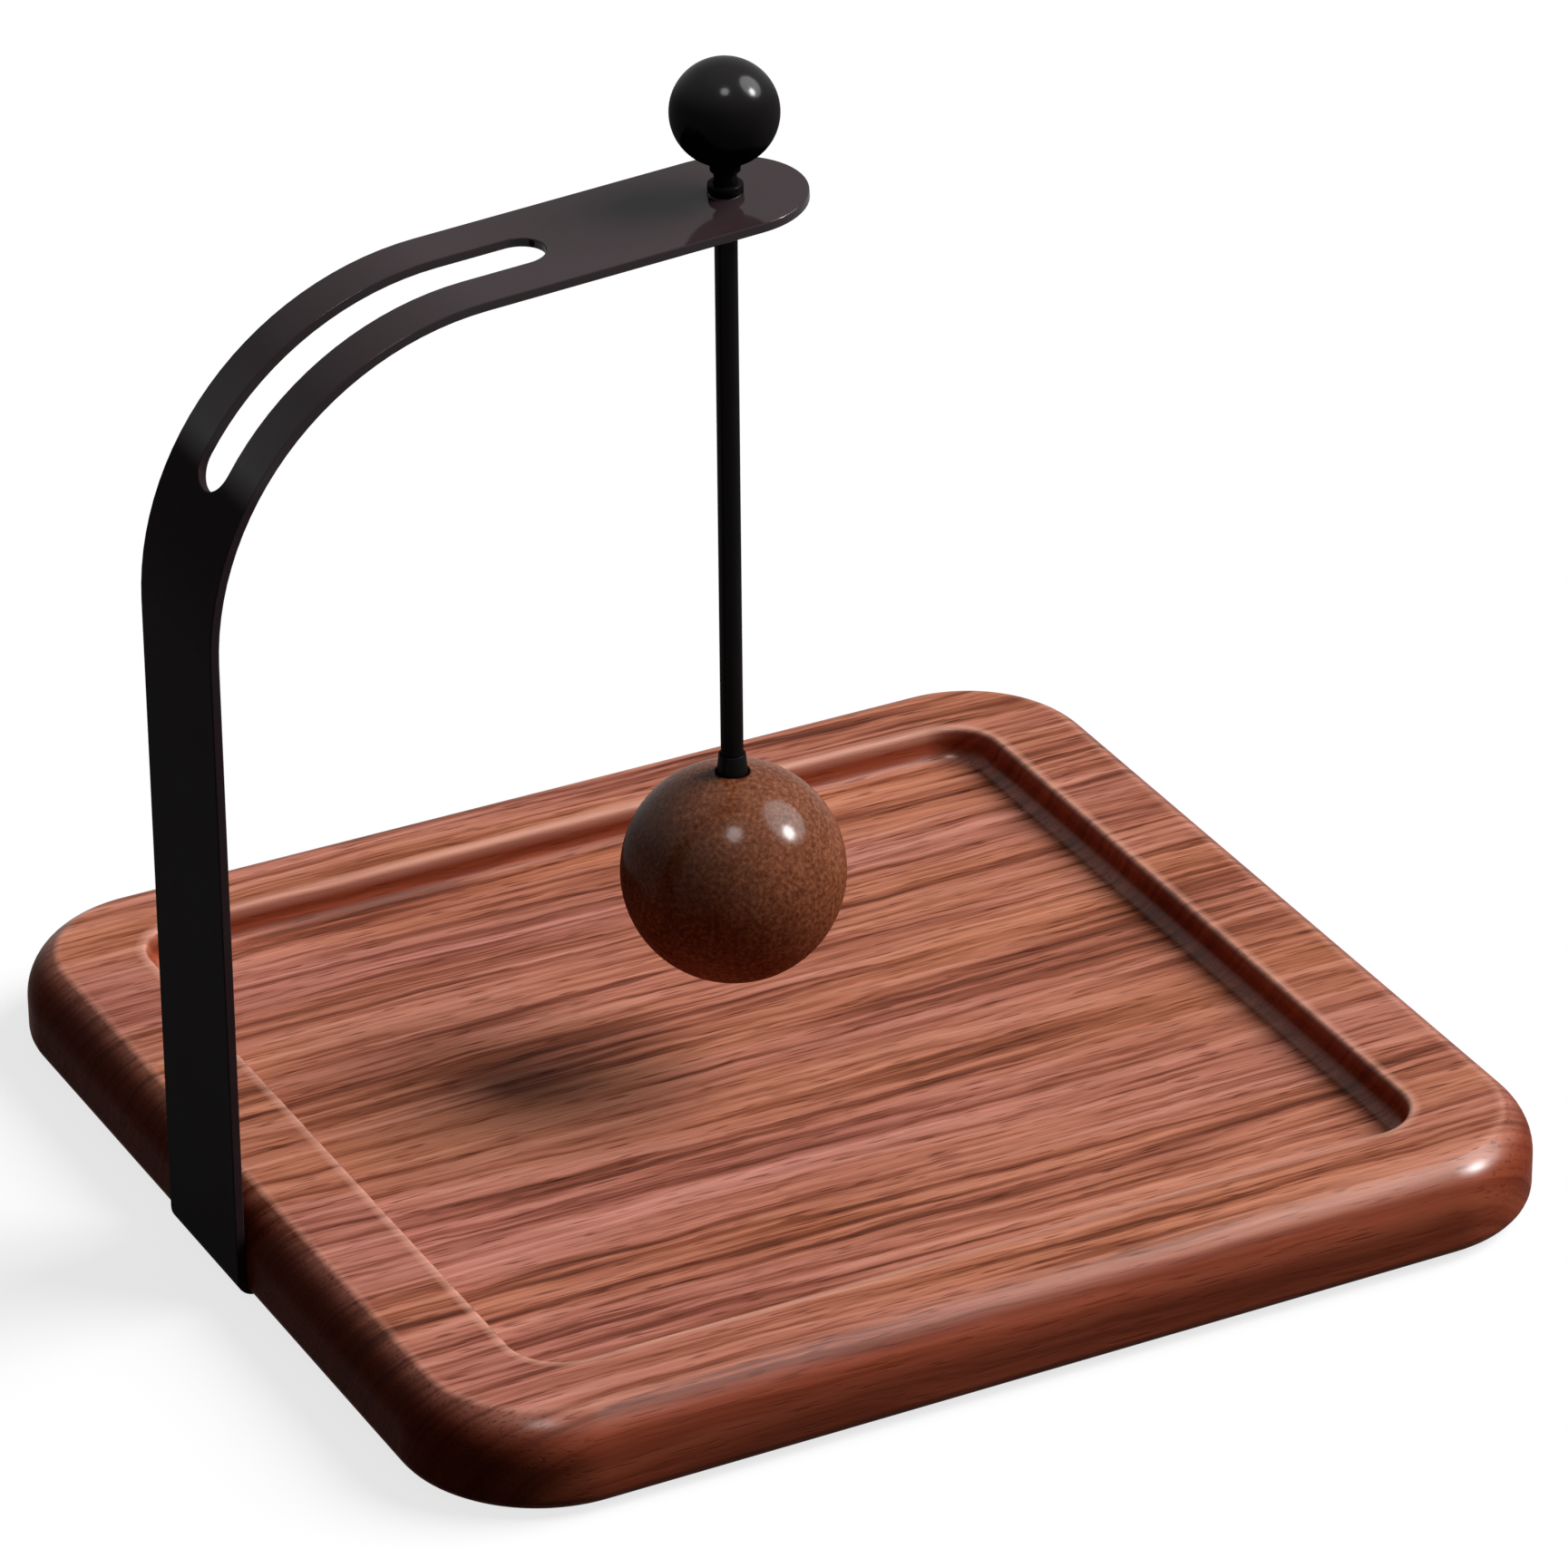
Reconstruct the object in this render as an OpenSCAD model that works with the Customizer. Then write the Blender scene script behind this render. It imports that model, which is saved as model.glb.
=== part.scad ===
// Napkin holder: a walnut tray, a bent steel arm and a ball that hangs from it on a rod.
// Millimetres, +X along the reach of the arm, +Z up.
// The origin is on the table, under the middle of the whole holder.

/* [Tray] */
// Length of the tray, along the reach of the arm
tray_l = 190; // [165:1:240]
// Width of the tray
tray_w = 179; // [150:1:230]
// Thickness of the board
tray_h = 15; // [13:0.5:24]
// Radius of the tray's corners, seen from above
tray_corner_r = 23; // [16:1:36]
// Radius of the rounded top edge
tray_top_r = 8.5; // [4:0.5:10]
// Angle at which the rounded edge leaves the flat top, in degrees
tray_top_tilt = 25; // [5:1:35]
// Radius of the softened bottom edge
tray_bottom_r = 2.5; // [1.5:0.5:4]
// Width of the rim at the tray's ends
rim_end_w = 19; // [17:0.5:28]
// Width of the rim along the tray's sides
rim_side_w = 16.5; // [16:0.5:26]
// Depth of the recess
recess_depth = 5.5; // [4.5:0.5:7]
// Radius of the recess's corners, seen from above
recess_corner_r = 8.5; // [5:0.5:20]
// Radius of the cove at the foot of the recess's walls
recess_cove_r = 3; // [1:0.5:4]
// Radius of the softened lip of the recess
recess_lip_r = 1; // [0.5:0.1:1.5]

/* [Arm] */
// Width of the steel strip
strip_w = 25; // [20:1:34]
// Thickness of the steel strip
strip_t = 1.5; // [1.4:0.1:2.2]
// Reach of the arm, from the post's outer face to the rod
arm_reach = 91; // [80:1:110]
// Height of the arm's top face over the tray's underside, at the rod
arm_h = 158.5; // [145:0.5:190]
// Outer radius of the large bend
bend_r = 48.5; // [40:0.5:56]
// Width of the slot
slot_w = 8.5; // [5:0.5:12]
// Straight run of the slot past the bend, to the centre of its upper end
slot_run = 11; // [6:0.5:16]
// Length of the foot under the tray, from the post's outer face
foot_l = 20; // [16:0.5:26]
// Outer radius of the bend between the post and the foot
foot_bend_r = 3; // [2.4:0.1:4]

/* [Arm screws] */
// Diameter of the screws' shanks
screw_d = 3; // [2.5:0.1:3.5]
// Diameter of the screws' countersunk heads
screw_head_d = 5.6; // [5:0.1:6.5]
// Length of the screws, heads included
screw_l = 11; // [8:0.5:12]
// Length of the screws' points
screw_point_l = 2.5; // [1.5:0.5:4]
// Distance of the screws from the sides of the strip
screw_inset = 6; // [5:0.5:8]
// Distance of the screws from the post's outer face
screw_setback = 11; // [9:0.5:12]

/* [Guide bush] */
// Wall of the bush's sleeve
bush_wall = 0.7; // [0.5:0.1:1.2]
// Diameter of the flange under the arm
bush_flange_d = 8; // [7:0.5:12]
// Thickness of the flange under the arm
bush_flange_t = 1; // [0.6:0.1:2]

/* [Rod and collar] */
// Diameter of the rod
rod_d = 3.5; // [2.5:0.1:3.8]
// Diameter of the stop collar that rests on the arm
collar_d = 5.4; // [5:0.1:8]
// Thickness of the stop collar
collar_t = 1.5; // [1:0.1:2.5]

/* [Knob] */
// Diameter of the knob
knob_d = 16.5; // [13:0.5:19.5]
// Height of the knob's centre over the arm's top face, at the rod
knob_rise = 13; // [12.8:0.1:18]
// Diameter of the knob's neck
neck_d = 4.6; // [4.2:0.1:6]
// Radius of the fillet between the knob and its neck
neck_fillet_r = 1.5; // [0.5:0.1:2]
// Straight length of the neck below its fillet
neck_l = 0.4; // [0.2:0.1:0.8]
// Depth of the rod's hole in the knob, from the end of the neck
knob_hole_l = 9; // [5:0.5:12]

/* [Ball] */
// Diameter of the ball
ball_d = 35; // [28:0.5:44]
// Depth of the ball's centre under the arm's top face, at the rod
ball_drop = 114.5; // [90:0.5:118]
// Diameter of the ferrule where it meets the ball
ferrule_d = 4.8; // [4.5:0.1:7]
// Diameter of the ferrule at its top
ferrule_top_d = 4.2; // [4.1:0.1:4.4]
// Height of the ferrule over the ball's top
ferrule_h = 3; // [2:0.5:6]
// Depth at which the ferrule is let into the ball
ferrule_seat = 1; // [0.5:0.1:2]
// Diameter of the brass insert
insert_d = 4.8; // [4.5:0.1:8]
// Length of the brass insert
insert_l = 10; // [6:0.5:14]

/* [Foot pads] */
// Diameter of the pads
pad_d = 12; // [8:0.5:16]
// Thickness of the pads
pad_h = 2; // [1.5:0.1:3]
// Height that the pads stand out of the tray's underside
pad_proud = 1; // [0.5:0.1:1.4]
// Distance of the pads' centres from the tray's sides
pad_inset = 20; // [17:0.5:26]
// Radius of the pads' lower edge
pad_edge_r = 0.4; // [0.2:0.1:0.5]

/* [Hidden] */
$fn = 96;
// Gap round pieces that are screwed or pressed in
fit_gap = 0.05;
// Least gap between the rod and the bush
slide_gap = 0.035;
// Gap between the stop collar and the arm that it rests on
rest_gap = 0.02;
// Overrun of the cuts
cut_over = 1;
// Step to which the height of the large bend is rounded
fine_step = 0.001;
// Sines of the turns that make up the arm's rise, and of the turn to the slot's lower end.
// The cosine of each is a short decimal too, so that turned pieces meet the bend without a step.
rise_up_share = 0.28;
rise_back_share = 0.07584;
slot_from_share = 0.5376;
// Cross recess of the screws: width, length and depth of each of its slots
drive_w = 0.7;
drive_l = 3;
drive_depth = 0.8;

// Heights of the tray and size of its recess
base_z = pad_proud;
tray_top_z = base_z + tray_h;
floor_z = tray_top_z - recess_depth;
recess_l = tray_l - 2 * rim_end_w;
recess_w = tray_w - 2 * rim_side_w;

// The post stands against the tray's end, and the two together are centred on the origin
post_x = -(tray_l + strip_t) / 2;
tray_x = strip_t / 2;
tray_end_x = post_x + strip_t;

// Path of the strip: the arm rises by about 3 degrees, and the slot starts about 33 degrees round the bend
rise_up = asin(rise_up_share);
rise_back = asin(rise_back_share);
arm_rise = rise_up - 3 * rise_back;
slot_from = asin(slot_from_share);
rod_x = post_x + arm_reach;
arm_top_z = base_z + arm_h;
bend_x = post_x + bend_r;
bend_in_r = bend_r - strip_t;
arm_run = (rod_x - bend_x + bend_r * sin(arm_rise)) / cos(arm_rise);
bend_rise = arm_run * sin(arm_rise) + bend_r * cos(arm_rise);
bend_z = round((arm_top_z - bend_rise) / fine_step) * fine_step;
foot_bend_x = post_x + foot_bend_r;
foot_bend_z = base_z + foot_bend_r;
foot_bend_in_r = foot_bend_r - strip_t;
post_l = bend_z - foot_bend_z;

// The bush is square to the rising arm and the rod is plumb, so the bore has room for both
bush_l = strip_t + bush_flange_t;
guide_gap = slide_gap + bush_l / 2 * tan(arm_rise);
bush_bore_d = rod_d + 2 * guide_gap;
bush_d = bush_bore_d + 2 * bush_wall;
hole_run = arm_run - bush_l / 2 * tan(arm_rise);

// Screws
screw_x = post_x + screw_setback;
screw_spacing = strip_w - 2 * screw_inset;
screw_head_h = (screw_head_d - screw_d) / 2;

// Heights of the hanging weight
collar_z = arm_top_z + collar_d / 2 * tan(arm_rise) + rest_gap;
knob_z = arm_top_z + knob_rise;
fillet_x = neck_d / 2 + neck_fillet_r;
fillet_z = -sqrt(pow(knob_d / 2 + neck_fillet_r, 2) - pow(fillet_x, 2));
neck_end_z = knob_z + fillet_z - neck_l;
rod_top_z = neck_end_z + knob_hole_l;
ball_z = arm_top_z - ball_drop;
ball_top_z = ball_z + ball_d / 2;
ferrule_z = ball_top_z - ferrule_seat;
insert_z = ferrule_z - insert_l;
rod_hole_d = rod_d + 2 * fit_gap;

// What lies outside a quarter circle about the origin, to round a corner off
module round_off(r) {
    difference() {
        square([r + cut_over, r + cut_over]);
        circle(r = r);
    }
}

// Half section of the board, from its middle out to its rounded edge
module board_section(reach) {
    difference() {
        square([reach, tray_h]);
        translate([reach - tray_top_r, tray_h - tray_top_r * cos(tray_top_tilt)]) round_off(tray_top_r);
        translate([reach - tray_bottom_r, tray_bottom_r]) mirror([0, 1]) round_off(tray_bottom_r);
    }
}

// Half section of the recess, from its middle out to its coved wall and softened lip
module recess_section(reach) {
    difference() {
        square([reach, recess_depth + cut_over]);
        translate([reach - recess_cove_r, recess_cove_r]) mirror([0, 1]) round_off(recess_cove_r);
    }
    translate([reach, recess_depth - recess_lip_r]) difference() {
        square([recess_lip_r, recess_lip_r + cut_over]);
        translate([recess_lip_r, 0]) circle(r = recess_lip_r);
    }
}

// A slab with round corners, from three half sections: at a corner, across its width and along its length
module slab(l, w, r) {
    for (corner = [[1, 1, 0], [-1, 1, 90], [-1, -1, 180], [1, -1, 270]])
        translate([corner[0] * (l / 2 - r), corner[1] * (w / 2 - r), 0])
            rotate([0, 0, corner[2]]) rotate_extrude(angle = 90) children(0);
    for (side = [0, 1]) {
        rotate([90, 0, 90]) linear_extrude(l - 2 * r, center = true) mirror([side, 0]) children(1);
        rotate([90, 0, 0]) linear_extrude(w - 2 * r, center = true) mirror([side, 0]) children(2);
    }
}

// A round end for a strip or a slot, on the -X side of the origin or, turned by 180, on the +X side
module round_end(d, t, turn = 0) {
    rotate([0, 0, turn + 90]) rotate_extrude(angle = 180) square([d / 2, t]);
}

// Turns a piece about the axis of the large bend, by an angle from the post: +Z then points out of the bend
// and +X along the strip to its tip
module round_bend(angle) {
    rotate([0, -90, 0]) rotate([0, angle, 0]) children();
}

// Turns a piece about the axis of the large bend, to lie along the straight run of the arm
module along_run() {
    rotate([0, -rise_up, 0]) rotate([0, rise_back, 0]) rotate([0, rise_back, 0]) rotate([0, rise_back, 0])
        children();
}

// Puts a piece at the centre of the large bend
module at_bend() {
    translate([bend_x, 0, bend_z]) children();
}

// Part of a ring about the axis of the large bend, from an angle past the post to the straight run
module bend_part(angle, r_in, r_out, w) {
    cut_l = 2 * (r_out + cut_over);
    difference() {
        rotate([90, 0, 0]) linear_extrude(w, center = true) difference() {
            circle(r = r_out);
            circle(r = r_in);
        }
        round_bend(angle) translate([-cut_l, -cut_l / 2, -cut_l / 2]) cube(cut_l);
        along_run() translate([0, -cut_l / 2, -cut_l / 2]) cube(cut_l);
    }
}

// Room for a countersunk screw and its head
module screw_room() {
    translate([0, 0, -cut_over])
        cylinder(h = screw_head_h + cut_over, r1 = screw_head_d / 2 + fit_gap + cut_over,
                 r2 = screw_d / 2 + fit_gap);
    cylinder(h = screw_l + fit_gap, r = screw_d / 2 + fit_gap);
}

// Puts a piece at the place of each screw
module at_screws() {
    for (side = [-1, 1])
        translate([screw_x, side * screw_spacing / 2, base_z]) children();
}

// Puts a piece at the place of a pad: side_x and side_y are -1 or 1
module at_pad(side_x, side_y) {
    translate([tray_x + side_x * (tray_l / 2 - pad_inset), side_y * (tray_w / 2 - pad_inset), 0]) children();
}

// Rebate under the tray for the arm's foot, with the tray's edge rounded to the inside of the strip's bend
module foot_rebate() {
    cut_w = strip_w + 2 * fit_gap;
    translate([tray_end_x - cut_over, -cut_w / 2, base_z - cut_over])
        cube([foot_l - strip_t + fit_gap + cut_over, cut_w, strip_t + cut_over]);
    translate([foot_bend_x, 0, foot_bend_z]) rotate([90, 0, 0]) linear_extrude(cut_w, center = true)
        rotate(180) round_off(foot_bend_in_r);
}

module tray() {
    color("#8f5644") difference() {
        translate([tray_x, 0, base_z]) slab(tray_l, tray_w, tray_corner_r) {
            board_section(tray_corner_r);
            board_section(tray_w / 2);
            board_section(tray_l / 2);
        }
        translate([tray_x, 0, floor_z]) slab(recess_l, recess_w, recess_corner_r) {
            recess_section(recess_corner_r);
            recess_section(recess_w / 2);
            recess_section(recess_l / 2);
        }
        foot_rebate();
        at_screws() screw_room();
        for (side_x = [-1, 1], side_y = [-1, 1])
            at_pad(side_x, side_y) cylinder(h = pad_h, d = pad_d + 2 * fit_gap);
    }
}

// Slot that follows the bend and runs on into the arm, with round ends
module arm_slot() {
    cut_t = strip_t + 2 * cut_over;
    cut_in_r = bend_in_r - cut_over;
    round_bend(slot_from) translate([0, 0, cut_in_r]) round_end(slot_w, cut_t);
    bend_part(slot_from, cut_in_r, cut_in_r + cut_t, slot_w);
    along_run() {
        translate([0, -slot_w / 2, cut_in_r]) cube([slot_run, slot_w, cut_t]);
        translate([slot_run, 0, cut_in_r]) round_end(slot_w, cut_t, 180);
    }
}

// Foot and post of the strip, about the post's lower end
module arm_post() {
    translate([0, -strip_w / 2, 0]) cube([strip_t, strip_w, post_l]);
    translate([foot_bend_r, 0, 0]) {
        rotate([90, 0, 0]) rotate([0, 0, 180]) rotate_extrude(angle = 90)
            translate([foot_bend_in_r, -strip_w / 2]) square([strip_t, strip_w]);
        translate([0, -strip_w / 2, -foot_bend_r]) cube([foot_l - foot_bend_r, strip_w, strip_t]);
    }
}

module arm() {
    color("#1c1a1b") difference() {
        at_bend() {
            translate([-bend_r, 0, -post_l]) arm_post();
            bend_part(0, bend_in_r, bend_r, strip_w);
            along_run() {
                translate([0, -strip_w / 2, bend_in_r]) cube([hole_run, strip_w, strip_t]);
                translate([hole_run, 0, bend_in_r]) round_end(strip_w, strip_t, 180);
            }
        }
        at_bend() arm_slot();
        at_bend() along_run() translate([hole_run, 0, bend_in_r - cut_over])
            cylinder(h = strip_t + 2 * cut_over, d = bush_d + 2 * fit_gap);
        at_screws() screw_room();
    }
}

module guide_bush() {
    color("#18181a") at_bend() along_run() translate([hole_run, 0, bend_r - bush_l]) difference() {
        union() {
            cylinder(h = bush_l, d = bush_d);
            cylinder(h = bush_flange_t, d = bush_flange_d);
        }
        translate([0, 0, -cut_over]) cylinder(h = bush_l + 2 * cut_over, d = bush_bore_d);
    }
}

module arm_screw(side) {
    color("#3a3a3c") translate([screw_x, side * screw_spacing / 2, base_z]) difference() {
        union() {
            cylinder(h = screw_head_h, d1 = screw_head_d, d2 = screw_d);
            translate([0, 0, screw_head_h])
                cylinder(h = screw_l - screw_head_h - screw_point_l, d = screw_d);
            translate([0, 0, screw_l - screw_point_l]) cylinder(h = screw_point_l, d1 = screw_d, d2 = 0);
        }
        for (turn = [0, 90])
            rotate([0, 0, turn]) translate([-drive_l / 2, -drive_w / 2, -cut_over])
                cube([drive_l, drive_w, drive_depth + cut_over]);
    }
}

module foot_pad(side_x, side_y) {
    color("#2b2b2d") at_pad(side_x, side_y) rotate_extrude() difference() {
        square([pad_d / 2, pad_h]);
        translate([pad_d / 2 - pad_edge_r, pad_edge_r]) mirror([0, 1]) round_off(pad_edge_r);
    }
}

module press_rod() {
    color("#201e1f") translate([rod_x, 0, insert_z]) cylinder(h = rod_top_z - insert_z, d = rod_d);
}

module stop_collar() {
    color("#201e1f") translate([rod_x, 0, collar_z]) difference() {
        cylinder(h = collar_t, d = collar_d);
        translate([0, 0, -cut_over]) cylinder(h = collar_t + 2 * cut_over, d = rod_hole_d);
    }
}

// Half section of the knob, about its centre: a ball that flows into a neck through a fillet
module knob_section() {
    touch_share = knob_d / 2 / (knob_d / 2 + neck_fillet_r);
    intersection() {
        circle(d = knob_d);
        translate([0, -knob_d / 2]) square([knob_d / 2, knob_d]);
    }
    difference() {
        polygon([[0, fillet_z - neck_l], [neck_d / 2, fillet_z - neck_l], [neck_d / 2, fillet_z],
                 [fillet_x * touch_share, fillet_z * touch_share], [0, fillet_z * touch_share]]);
        translate([fillet_x, fillet_z]) circle(r = neck_fillet_r);
    }
}

module top_knob() {
    color("#141314") difference() {
        translate([rod_x, 0, knob_z]) rotate_extrude() knob_section();
        translate([rod_x, 0, neck_end_z - cut_over]) cylinder(h = knob_hole_l + cut_over, d = rod_hole_d);
    }
}

module ball_ferrule() {
    color("#141314") translate([rod_x, 0, ferrule_z]) difference() {
        union() {
            cylinder(h = ferrule_seat, d = ferrule_d);
            translate([0, 0, ferrule_seat]) cylinder(h = ferrule_h, d1 = ferrule_d, d2 = ferrule_top_d);
        }
        translate([0, 0, -cut_over])
            cylinder(h = ferrule_seat + ferrule_h + 2 * cut_over, d = rod_hole_d);
    }
}

module weight_ball() {
    color("#6b4030") difference() {
        translate([rod_x, 0, ball_z]) sphere(d = ball_d);
        translate([rod_x, 0, ferrule_z])
            cylinder(h = ferrule_seat + cut_over, d = ferrule_d + 2 * fit_gap);
        translate([rod_x, 0, insert_z]) cylinder(h = insert_l, d = insert_d + 2 * fit_gap);
    }
}

module ball_insert() {
    color("#b8914f") translate([rod_x, 0, insert_z]) difference() {
        cylinder(h = insert_l, d = insert_d);
        translate([0, 0, -cut_over]) cylinder(h = insert_l + 2 * cut_over, d = rod_hole_d);
    }
}

tray();
arm();
guide_bush();
arm_screw(-1);  // arm_screw_front
arm_screw(1);  // arm_screw_back
foot_pad(-1, -1);  // foot_pad_front_left
foot_pad(1, -1);  // foot_pad_front_right
foot_pad(-1, 1);  // foot_pad_back_left
foot_pad(1, 1);  // foot_pad_back_right
press_rod();
stop_collar();
top_knob();
ball_ferrule();
weight_ball();
ball_insert();
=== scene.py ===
# Looks of the napkin holder: a walnut tray, a bent steel arm and a ball that hangs from it on a rod.
import math

import bmesh
import bpy
from mathutils import Matrix, Vector


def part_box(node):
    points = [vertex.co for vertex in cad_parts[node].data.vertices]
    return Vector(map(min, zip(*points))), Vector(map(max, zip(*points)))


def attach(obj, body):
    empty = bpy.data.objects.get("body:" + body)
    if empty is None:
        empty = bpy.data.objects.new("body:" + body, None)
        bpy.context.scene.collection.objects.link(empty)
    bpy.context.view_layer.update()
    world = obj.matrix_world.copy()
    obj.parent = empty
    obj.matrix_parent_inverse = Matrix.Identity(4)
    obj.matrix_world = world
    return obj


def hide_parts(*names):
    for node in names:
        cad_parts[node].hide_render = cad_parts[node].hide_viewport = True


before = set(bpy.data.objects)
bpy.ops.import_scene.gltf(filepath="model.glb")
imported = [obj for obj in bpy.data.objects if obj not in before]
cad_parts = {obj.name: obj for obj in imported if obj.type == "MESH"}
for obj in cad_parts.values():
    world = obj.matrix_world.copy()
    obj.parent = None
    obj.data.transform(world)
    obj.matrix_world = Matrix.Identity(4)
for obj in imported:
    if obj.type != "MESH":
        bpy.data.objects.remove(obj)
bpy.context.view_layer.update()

MM = 0.001
FULL_TURN = 2 * math.pi
QUARTER_TURN = math.pi / 2
UP = Vector((0, 0, 1))
ACROSS = Vector((0, 1, 0))
MERGE_GAP = 0.001 * MM

# Words in the names of the screws and pads
SIDES = ("front", "back")
ENDS = ("left", "right")

# Steps of the arcs
CORNER_STEPS = 24
EDGE_STEPS = 12
SMALL_STEPS = 6
FINE_STEPS = 3
KNOB_STEPS = 48
BALL_STEPS = 72
SEAT_STEPS = 64
TURNED_STEPS = 128

# Tray, with the sizes of the CAD solid
TRAY_CORNER_R = 23 * MM
TRAY_EDGE_R = 8.5 * MM
TRAY_EDGE_TILT = math.radians(25)
TRAY_FOOT_R = 2.5 * MM
RIM_END_W = 19 * MM
RIM_SIDE_W = 16.5 * MM
RECESS_DEPTH = 5.5 * MM
RECESS_CORNER_R = 8.5 * MM
RECESS_COVE_R = 3 * MM
RECESS_LIP_R = 1 * MM

# Tray's worn, softened arris, and how far its pale edge, which is partly wear and partly a painted highlight,
# spreads over the rim from there and from the lip of the recess
TRAY_ARRIS = 0.5 * MM
ARRIS_ANGLE = 0.8 * TRAY_EDGE_TILT
EDGE_FADE = 1.2 * MM
EDGE_WEAR_AND_HIGHLIGHT = 0.4

# Foot of the arm under the tray, its screws and the pads
STRIP_T = 1.5 * MM
FOOT_L = 20 * MM
FOOT_BEND_IN_R = 1.5 * MM
FIT_GAP = 0.05 * MM
SCREW_R = 1.5 * MM
SCREW_L = 11 * MM
PAD_SEAT = 1 * MM
PAD_EDGE = 0.4 * MM
CUT_OVER = 1 * MM

# Softened edges of the strip and the small pieces
RING_EDGE = 0.24 * MM
STRIP_EDGE = 0.22 * MM
FINE_EDGE = 0.12 * MM
HAIR_EDGE = 0.06 * MM
SHARP_ANGLE = math.radians(30)
FLAT_ANGLE = math.radians(0.2)

# Hanging weight, with the sizes of the CAD solids
ROD_R = 1.75 * MM
ROD_HOLE_R = 1.8 * MM
KNOB_R = 8.25 * MM
NECK_R = 2.3 * MM
NECK_FILLET_R = 1.5 * MM
KNOB_HOLE_L = 9 * MM
BALL_R = 17.5 * MM
BALL_HOLE_R = 2.45 * MM
FERRULE_SEAT = 1 * MM
INSERT_L = 10 * MM
FERRULE_TOP_R = 2.1 * MM


# Meshes

def vertices(geometry):
    """The vertices in what an operator gives back."""
    return [g for g in geometry if isinstance(g, bmesh.types.BMVert)]


def edges(geometry):
    """The edges in what an operator gives back."""
    return [g for g in geometry if isinstance(g, bmesh.types.BMEdge)]


def line_to(bm, vert, point):
    """Draws a straight line on from a vertex and returns its end."""
    end = bmesh.ops.extrude_vert_indiv(bm, verts=[vert])["verts"][0]
    end.co = point
    return end


def arc_on(bm, vert, centre, angle, steps):
    """Draws an arc on from a vertex, about an axis along Y, and returns its end."""
    turned = bmesh.ops.spin(bm, geom=[vert], cent=centre, axis=ACROSS, angle=angle, steps=steps)
    return vertices(turned["geom_last"])[0]


def take_round(bm, section, centre, half_l, half_w, corner_r):
    """Takes a section from the +X side round a plan that has round corners."""
    reach = Vector((half_l - corner_r, half_w - corner_r, 0))
    for side, corner in enumerate(((1, 1), (-1, 1), (-1, -1), (1, -1))):
        run = Matrix.Rotation(side * QUARTER_TURN, 3, UP) @ ACROSS
        run_l = 2 * (reach.y if side % 2 == 0 else reach.x)
        drawn = bmesh.ops.extrude_edge_only(bm, edges=section)["geom"]
        bmesh.ops.translate(bm, vec=run * run_l, verts=vertices(drawn))
        moved = set(vertices(drawn))
        section = [e for e in edges(drawn) if set(e.verts) <= moved]
        turned = bmesh.ops.spin(
            bm, geom=section, cent=centre + Vector((corner[0] * reach.x, corner[1] * reach.y, 0)),
            axis=UP, angle=QUARTER_TURN, steps=CORNER_STEPS)
        section = edges(turned["geom_last"])
    bmesh.ops.remove_doubles(bm, verts=bm.verts, dist=MERGE_GAP)


def open_edges_at(bm, height):
    """The open edges that lie at a height."""
    return [e for e in bm.edges
            if e.is_boundary and all(abs(v.co.z - height) < MERGE_GAP for v in e.verts)]


def soften(bm, sharp, width, affect="EDGES"):
    """Rounds edges off, or the corners of an outline."""
    bmesh.ops.bevel(bm, geom=sharp, offset=width, offset_type="OFFSET", affect=affect,
                    segments=FINE_STEPS, profile=0.5, material=-1)


def sharp_edges(bm, angle):
    """The edges where two faces meet at more than an angle."""
    return [e for e in bm.edges if e.is_manifold and e.calc_face_angle() > angle]


def add_piece(name, bm, finish, body, slot, *nodes):
    """Makes a piece of a finished mesh, which stands for CAD nodes and moves with their body."""
    mesh = bpy.data.meshes.new(name)
    bm.to_mesh(mesh)
    bm.free()
    mesh.shade_smooth()
    mesh.materials.append(finish)
    piece = bpy.data.objects.new(name, mesh)
    bpy.context.scene.collection.objects.link(piece)
    normals = piece.modifiers.new("even_normals", "WEIGHTED_NORMAL")
    normals.keep_sharp = True
    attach(piece, body)
    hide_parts(*nodes)
    return piece


def softened_copy(node, width):
    """A copy of a CAD node's mesh, merged and with its edges rounded off."""
    bm = bmesh.new()
    bm.from_mesh(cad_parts[node].data)
    bmesh.ops.remove_doubles(bm, verts=bm.verts, dist=MERGE_GAP)
    bmesh.ops.dissolve_limit(bm, angle_limit=FLAT_ANGLE, verts=bm.verts, edges=bm.edges)
    soften(bm, sharp_edges(bm, SHARP_ANGLE), width)
    return bm


def turned_piece(bm, axis_x):
    """Spins the outline in a mesh about an upright axis."""
    bmesh.ops.spin(bm, geom=bm.verts[:] + bm.edges[:], cent=(axis_x, 0, 0), axis=UP, angle=FULL_TURN,
                   steps=TURNED_STEPS, use_merge=True)
    bmesh.ops.remove_doubles(bm, verts=bm.verts, dist=MERGE_GAP)
    bmesh.ops.recalc_face_normals(bm, faces=bm.faces)
    return bm


def outline(points):
    """A mesh with an outline of straight lines: each point has a place and a width that rounds its corner."""
    bm = bmesh.new()
    corner = bm.verts.new(points[0][0])
    corners = [corner]
    for place, _ in points[1:]:
        corner = line_to(bm, corner, place)
        corners.append(corner)
    for corner, (_, width) in zip(corners, points):
        if width:
            soften(bm, [corner], width, "VERTICES")
    return bm


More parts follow.
